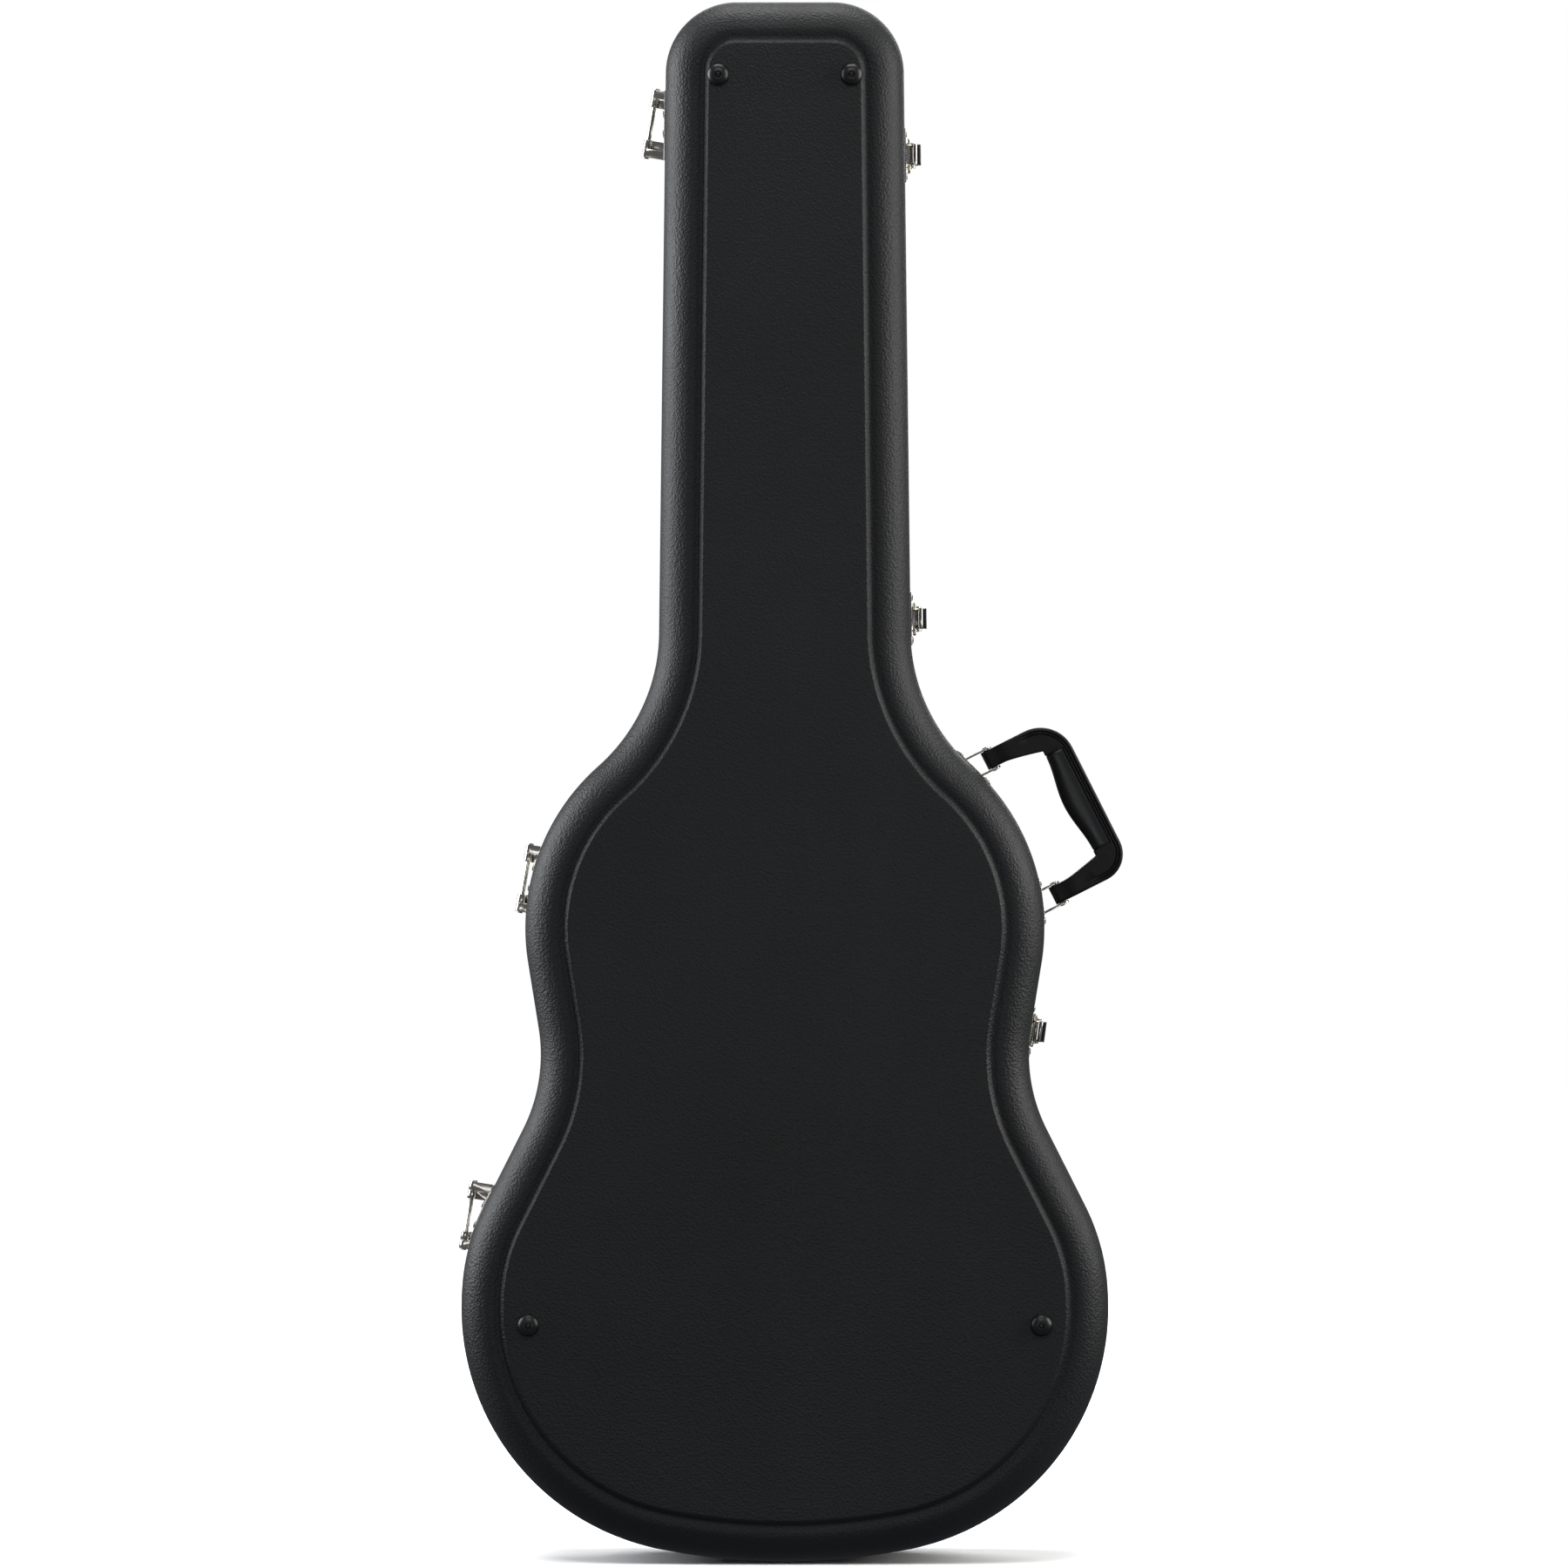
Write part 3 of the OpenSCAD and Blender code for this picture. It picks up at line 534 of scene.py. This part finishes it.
for body, place, side, depth, face in (("base", to_base, 5.9, 96.0, 1), ("lid", to_lid, 7.6, 50.0, -1)):
    flat = make("pad_panel_" + body, *loft(place(panel_pad_path(side)), shift=waves(face)),
                PLUSH, body, "plush", 60)
    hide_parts(body + "_panel_pad")
    strip = make("pad_side_" + body, *loft(place(side_pad_path(side, depth)), closed=True,
                                           shift=waves(None)), PLUSH, body, "plush", 60)
    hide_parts(body + "_side_pad")


# ---------------------------------------------------------------- padded blocks
CLOTH_FRAMES = 20


def padded_block(name, node, body, voxel, lift):
    """A CAD solid as foam under cloth: remeshed, softened and swollen by cloth pressure."""
    src = nodes[node].data
    mesh = src.copy()
    mesh.name = name
    obj = bpy.data.objects.new(name, mesh)
    scene.collection.objects.link(obj)
    bm = bmesh.new()
    bm.from_mesh(mesh)
    bmesh.ops.remove_doubles(bm, verts=bm.verts, dist=1e-6)
    bm.normal_update()
    bm.to_mesh(mesh)
    bm.free()
    rem = obj.modifiers.new("voxels", "REMESH")
    rem.mode = "VOXEL"
    rem.voxel_size = voxel
    sm = obj.modifiers.new("soften", "SMOOTH")
    sm.factor = 0.5
    sm.iterations = 5
    dg = bpy.context.evaluated_depsgraph_get()
    done = bpy.data.meshes.new_from_object(obj.evaluated_get(dg))
    obj.modifiers.clear()
    obj.data = done
    swell(obj, lift)
    sub = obj.modifiers.new("round", "SUBSURF")
    sub.levels = sub.render_levels = 1
    obj.data.materials.clear()
    obj.data.materials.append(PLUSH)
    obj.data.shade_smooth()
    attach(obj, body)
    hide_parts(node)
    return obj


def swell(obj, cap):
    """Cloth under pressure, its movement capped, applied to the mesh."""
    rest = [v.co.copy() for v in obj.data.vertices]
    cloth = obj.modifiers.new("cloth", "CLOTH")
    cs = cloth.settings
    cs.use_pressure = True
    cs.uniform_pressure_force = 4.0
    cs.effector_weights.gravity = 0.0
    cs.quality = 5
    cs.mass = 0.3
    cs.tension_stiffness = cs.compression_stiffness = 15.0
    cs.bending_stiffness = 0.5
    cloth.point_cache.frame_start, cloth.point_cache.frame_end = 1, CLOTH_FRAMES
    for f in range(1, CLOTH_FRAMES + 1):
        scene.frame_set(f)
    dg = bpy.context.evaluated_depsgraph_get()
    moved = bpy.data.meshes.new_from_object(obj.evaluated_get(dg))
    obj.modifiers.remove(cloth)
    scene.frame_set(1)
    for v, w, r in zip(obj.data.vertices, moved.vertices, rest):
        d = w.co - r
        v.co = r + (d if d.length < cap else d.normalized() * cap)
    bpy.data.meshes.remove(moved)


cradle = padded_block("cradle_neck", "neck_cradle", "base", 0.0045, 0.0015)
box_pad = padded_block("box_accessory", "accessory_box", "base", 0.0032, 0.0004)
flap_pad = padded_block("flap_accessory", "accessory_flap", "flap", 0.0016, 0.0003)


# ---------------------------------------------------------------- handle
TILT = math.radians(-26.8)             # the handle, in mm from its fold axis
HANDLE_AT = Vector((168.3, -9.0, 513.8))
TO_HANDLE = Matrix.Translation(HANDLE_AT) @ Matrix.Rotation(TILT, 4, "Y")
REACH, OUTER_Z, STRAP = 55.0, 59.5, 7.0
GRIP_Z, GRIP_END, GRIP_T, BELLY, GRIP_HALF_Y = 37.0, 37.35, 12.5, 4.4, 9.0
HALF_Y, PIVOT_R, ARM_W, RAMP_X, WAIST_X = 8.0, 4.6, 13.0, 16.0, 9.0
BOW_R, CORNER_Z, PIN_HOLE_R = (20.0, 25.0), 41.0, 2.3


def bow_half_thickness(x):
    if x <= 0:
        return math.sqrt(max(0.0, PIVOT_R ** 2 - x * x))
    if x < RAMP_X:
        t = x / RAMP_X
        return PIVOT_R + (HALF_Y - PIVOT_R) * t * t * (3 - 2 * t)
    return HALF_Y


def half_bow(r):
    """One arm, its corner of radius r and half the strap, as sections from the arm's end on."""
    def arm_width(x):
        return ARM_W + 5.5 * max(0.0, (x - WAIST_X) / 26.5) ** 1.2

    centre, bar = Vector((REACH - r, OUTER_Z - r)), REACH - STRAP - GRIP_T
    half = []
    for k in range(10):
        x = centre.x * k / 9
        rib = max(0.0, min(1.0, (x - 20) / 10))
        half.append((Vector((x, OUTER_Z)), Vector((0, -1)), arm_width(x), rib))
    inner_z = OUTER_Z - arm_width(centre.x)
    corner = math.atan2(CORNER_Z - centre.y, bar - centre.x)
    turns = [math.radians(7.5 * k) for k in range(12)] + [corner]
    if centre.y < GRIP_END:                             # the grip's end lies within the corner
        turns += [math.atan2(GRIP_END - centre.y, bar - centre.x),
                  math.atan2(GRIP_END - centre.y, REACH - STRAP - centre.x)]
    for a in sorted(turns, reverse=True):
        e = Vector((math.cos(a), math.sin(a)))
        z = inner_z + (CORNER_Z - inner_z) * min(1.0, (math.pi / 2 - a) / (math.pi / 2 - corner))
        up, side = 1 / max(0.001, e.y), 1 / max(0.001, e.x)
        reach = max(min((z - centre.y) * up, (bar - centre.x) * side),
                    min((GRIP_END - centre.y) * up, (REACH - STRAP - centre.x) * side))
        half.append((centre + r * e, -e, r - reach, 1.0))
    if centre.y > GRIP_END:
        for k in range(1, 4):
            z = centre.y + (GRIP_END - centre.y) * k / 3
            half.append((Vector((REACH, z)), Vector((-1, 0)), REACH - bar, 1.0))
        half.append((Vector((REACH, GRIP_END)), Vector((-1, 0)), STRAP, 1.0))
    for z in (33.0, 28.0, 20.0, 10.0):
        half.append((Vector((REACH, z)), Vector((-1, 0)), STRAP, 1.0))
    return half


def bow_sections():
    """(outer point, inward direction, width, rib) from the lower arm's end to the upper's."""
    lower = [(Vector((p.x, -p.y)), Vector((n.x, -n.y)), w, g) for p, n, w, g in half_bow(BOW_R[0])]
    return lower + [(Vector((REACH, 0)), Vector((-1, 0)), STRAP, 1.0)] + half_bow(BOW_R[1])[::-1]


def bow_profile(w, rib, x_of):
    """Closed section (depth from the outer face, y); rib scales two grooves beside the outer edge."""
    top = []
    edge, inner = 2.0, 1.4
    for k in range(6):
        a = math.radians(90 * k / 5)
        top.append((edge - edge * math.cos(a), -edge + edge * math.sin(a)))
    for centre in (2.8, 4.7):
        for off, cut in ((-0.8, 0.0), (-0.4, 0.5), (0.0, 0.75), (0.4, 0.5), (0.8, 0.0)):
            top.append((centre + off, -cut * rib))
    for k in range(6):
        a = math.radians(90 * k / 5)
        top.append((w - inner + inner * math.sin(a), -inner + inner * math.cos(a)))
    made = [(d, bow_half_thickness(x_of(d)) + y) for d, y in top]
    return made + [(d, -y) for d, y in reversed(made)]


def bow_mesh():
    verts, faces = [], []
    sections = bow_sections()
    for p, n, w, rib in sections:
        for d, y in bow_profile(w, rib, lambda d: p.x + n.x * d):
            q = p + n * d
            verts.append(TO_HANDLE @ Vector((q.x, y, q.y)))
    m, c = len(sections), len(bow_profile(ARM_W, 0, lambda d: RAMP_X))
    for j in range(m - 1):
        for k in range(c):
            faces.append((j * c + k, j * c + (k + 1) % c, (j + 1) * c + (k + 1) % c, (j + 1) * c + k))
    return verts, faces, m, c


def arm_end(verts, faces, m, c):
    """Rounds the two arm ends about the pivot and closes them."""
    for first, base in ((True, 0), (False, (m - 1) * c)):
        ring0 = list(range(base, base + c))
        prof = bow_profile(ARM_W, 0.0, lambda d: 0.0)
        side = -1 if first else 1
        for step in range(1, 7):
            a = math.radians(90 * step / 6.4)
            x = -PIVOT_R * math.sin(a)
            shrink = math.cos(a)
            start = len(verts)
            for d, y in prof:
                z = side * (OUTER_Z - d)
                verts.append(TO_HANDLE @ Vector((x, y * shrink, z)))
            ring1 = list(range(start, start + c))
            for k in range(c):
                faces.append((ring0[k], ring0[(k + 1) % c], ring1[(k + 1) % c], ring1[k]))
            ring0 = ring1
        faces.append(tuple(ring0))
    return verts, faces


def drill(obj, radius, place, length):
    """Cuts a pin's hole through a mesh object."""
    v, f = revolve([(radius * MM, -length / 2 * MM), (radius * MM, length / 2 * MM)], place, 48)
    mesh = bpy.data.meshes.new("drill")
    mesh.from_pydata(v, [], f)
    cutter = bpy.data.objects.new("drill", mesh)
    scene.collection.objects.link(cutter)
    mod = obj.modifiers.new("bore", "BOOLEAN")
    mod.operation, mod.solver, mod.object = "DIFFERENCE", "EXACT", cutter
    dg = bpy.context.evaluated_depsgraph_get()
    done = bpy.data.meshes.new_from_object(obj.evaluated_get(dg))
    obj.modifiers.clear()
    obj.data = done
    bpy.data.objects.remove(cutter)
    done.shade_smooth()
    done.set_sharp_from_angle(angle=math.radians(38))


verts, faces = arm_end(*bow_mesh())
bow = make("handle_bow", verts, faces, HANDLE, "handle", "handle", 38)
place_m = Matrix.Translation(HANDLE_AT * MM) @ Matrix.Rotation(TILT, 4, "Y")
drill(bow, PIN_HOLE_R, place_m, 200)
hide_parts("handle_frame")


def grip_mesh():
    verts, faces = [], []
    rows = [(-37.3, 0.9), (-37.0, 0.95), (-36.3, 0.985)]
    rows += [(-35 + 70 * k / 42, 1.0) for k in range(43)]
    rows += [(-z, s) for z, s in reversed(rows[:3])]
    seg, e0 = 64, 5.0                                   # e0: depth at which the grip is widest
    for z, s in rows:
        length = GRIP_T + BELLY * (1 + math.cos(math.pi * min(1.0, abs(z) / GRIP_Z))) / 2
        points = [(e0 * k / 6, GRIP_HALF_Y - 0.95 * (1 - k / 6) ** 2) for k in range(6)]
        for k in range(seg // 2 - 6):
            t = math.pi / 2 * k / (seg // 2 - 7)
            points.append((e0 + (length - e0) * math.sin(t) ** 0.9,
                           GRIP_HALF_Y * max(0.0, math.cos(t)) ** 0.8))
        loop = [(e, y) for e, y in points] + [(e, -y) for e, y in reversed(points)]
        for e, y in loop:
            x = REACH - STRAP + 0.05 - (e0 + (e - e0) * s if e > e0 else e)
            verts.append(TO_HANDLE @ Vector((x, y * s, z)))
    m = len(rows)
    for j in range(m - 1):
        a0, b0 = j * seg, (j + 1) * seg
        faces += [(a0 + k, a0 + (k + 1) % seg, b0 + (k + 1) % seg, b0 + k) for k in range(seg)]
    faces.append(tuple(range(seg)))
    faces.append(tuple((m - 1) * seg + k for k in range(seg)))
    return verts, faces


grip = make("handle_soft_grip", *grip_mesh(), GRIP, "handle", "grip", 40)
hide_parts("handle_grip")

# ---------------------------------------------------------------- feet
foot_verts, foot_faces, stud_verts, stud_faces = [], [], [], []
dome = [(2.05, 0.0), (7.4, 0.0), (7.7, 0.25), (7.7, 0.8)]
for k in range(1, 13):
    a = math.radians(5.9 * k)
    dome.append((7.7 * math.cos(a), 0.8 + 5.2 * math.sin(a)))
dome += [(2.2, 5.7), (2.12, 5.45), (2.1, 5.0), (2.1, 3.9), (2.05, 3.85)]
stud = [(0.0, 0.0), (1.95, 0.0), (1.95, 4.9), (1.8, 5.15), (1.3, 5.35), (0.6, 5.45), (0.0, 5.47)]
dome_ring, segments = len(dome) - 1, 72
for x, z in ((46.4, 1037.0), (178.5, 167.0)):
    for s in (-1, 1):
        place = Matrix.Translation(Vector((s * x, BACK_Y, z))) @ Matrix.Rotation(math.pi / 2, 4, "X")
        v, f = revolve(dome, place, segments)
        f = f[:-2] + [(dome_ring * segments + k, dome_ring * segments + (k + 1) % segments,
                       (k + 1) % segments, k) for k in range(segments)]  # a bore, not two caps
        foot_faces += [tuple(i + len(foot_verts) for i in q) for q in f]
        foot_verts += v
        v, f = revolve(stud, place)
        stud_faces += [tuple(i + len(stud_verts) for i in q) for q in f]
        stud_verts += v
feet = make("feet_rubber", foot_verts, foot_faces, RUBBER, "base", "rubber", 45)
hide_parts("feet")
studs = make("foot_studs", stud_verts, stud_faces, RIM, "base", "rim", 40)
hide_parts("foot_rivets")

# ---------------------------------------------------------------- pieces kept from the CAD model
BEVELS = {"hinge_": 0.00022, "latch_": 0.0002, "handle_bracket": 0.0003, "handle_backing": 0.0003,
          "handle_pin": 0.0003}
for name, obj in nodes.items():
    if obj.hide_render:
        continue
    mat = CHROME
    if name.endswith("thumb_pad"):
        mat = PAD
    elif name.startswith("handle_backing"):
        mat = STEEL
    elif name == "flap_tab":
        mat = RIBBON
    obj.data.materials.clear()
    obj.data.materials.append(mat)
    width = next((w for k, w in BEVELS.items() if name.startswith(k)), None)
    if name.endswith("thumb_pad"):
        width = 0.0007
    if name == "flap_tab":
        width = 0.0004
    if width and not name.endswith("bail") and "rivets" not in name:
        weld = obj.modifiers.new("weld", "WELD")
        weld.merge_threshold = 1e-6
        bev = obj.modifiers.new("edges", "BEVEL")
        bev.width = width
        bev.segments = 3
        bev.limit_method = "ANGLE"
        bev.angle_limit = math.radians(35)
        bev.harden_normals = True
    obj.data.shade_smooth()

# ---------------------------------------------------------------- floor and light
floor_mesh = bpy.data.meshes.new("floor")
bm = bmesh.new()
bmesh.ops.create_circle(bm, cap_ends=True, segments=96, radius=9.0)
bm.to_mesh(floor_mesh)
bm.free()
floor = bpy.data.objects.new("floor", floor_mesh)
floor.location = (0, 0, -0.0002)
floor.data.materials.append(floor_material())
scene.collection.objects.link(floor)
floor.visible_glossy = floor.visible_diffuse = False

world = bpy.data.worlds.new("studio")
world.use_nodes = True
scene.world = world
wt = world.node_tree
wt.nodes.clear()
w_out = wt.nodes.new("ShaderNodeOutputWorld")
seen, lit = wt.nodes.new("ShaderNodeBackground"), wt.nodes.new("ShaderNodeBackground")
seen.inputs["Color"].default_value = (1.0, 1.0, 1.0, 1)
lit.inputs["Color"].default_value = (0.86, 0.9, 1.0, 1)
lit.inputs["Strength"].default_value = 0.13
path_kind, w_mix = wt.nodes.new("ShaderNodeLightPath"), wt.nodes.new("ShaderNodeMixShader")
wt.links.new(path_kind.outputs["Is Camera Ray"], w_mix.inputs["Fac"])
wt.links.new(lit.outputs[0], w_mix.inputs[1])
wt.links.new(seen.outputs[0], w_mix.inputs[2])
wt.links.new(w_mix.outputs[0], w_out.inputs["Surface"])


def softbox(name, place, aim, size, power, color):
    data = bpy.data.lights.new(name, "AREA")
    data.shape = "RECTANGLE"
    data.size, data.size_y = size
    data.energy = power
    data.color = color
    obj = bpy.data.objects.new(name, data)
    obj.location = place
    obj.rotation_euler = (Vector(aim) - Vector(place)).to_track_quat("-Z", "Y").to_euler()
    obj.visible_camera = False
    scene.collection.objects.link(obj)
    return obj


softbox("left_light", (-1.9, 0.3, 1.2), (0, 0, 1.0), (1.2, 1.7), 46, (0.95, 0.97, 1.0))
softbox("right_light", (1.9, -0.2, 1.2), (0, 0, 1.0), (1.3, 1.7), 28, (1.0, 0.99, 0.96))
softbox("front_fill", (0.0, -1.8, 2.3), (0, 0, 0.9), (1.6, 0.8), 9, (1.0, 1.0, 1.0))
softbox("low_fill", (0.0, -2.4, 0.25), (0, 0, 0.1), (1.8, 0.3), 3, (1.0, 1.0, 1.0))
softbox("back_fill", (0.4, 3.0, 1.9), (0, 0, 0.6), (2.4, 1.8), 44, (1.0, 1.0, 1.0))
softbox("top_light", (0.0, 0.3, 3.0), (0, 0, 0.5), (1.8, 1.4), 34, (1.0, 1.0, 1.0))

floor_sun = bpy.data.objects.new("floor_sun", bpy.data.lights.new("floor_sun", "SUN"))
floor_sun.data.energy = 4.2
floor_sun.data.angle = math.radians(40)
floor_sun.rotation_euler = (math.radians(12), math.radians(-10), 0)
scene.collection.objects.link(floor_sun)
only_floor = bpy.data.collections.new("only_floor")
only_floor.objects.link(floor)
floor_sun.light_linking.receiver_collection = only_floor
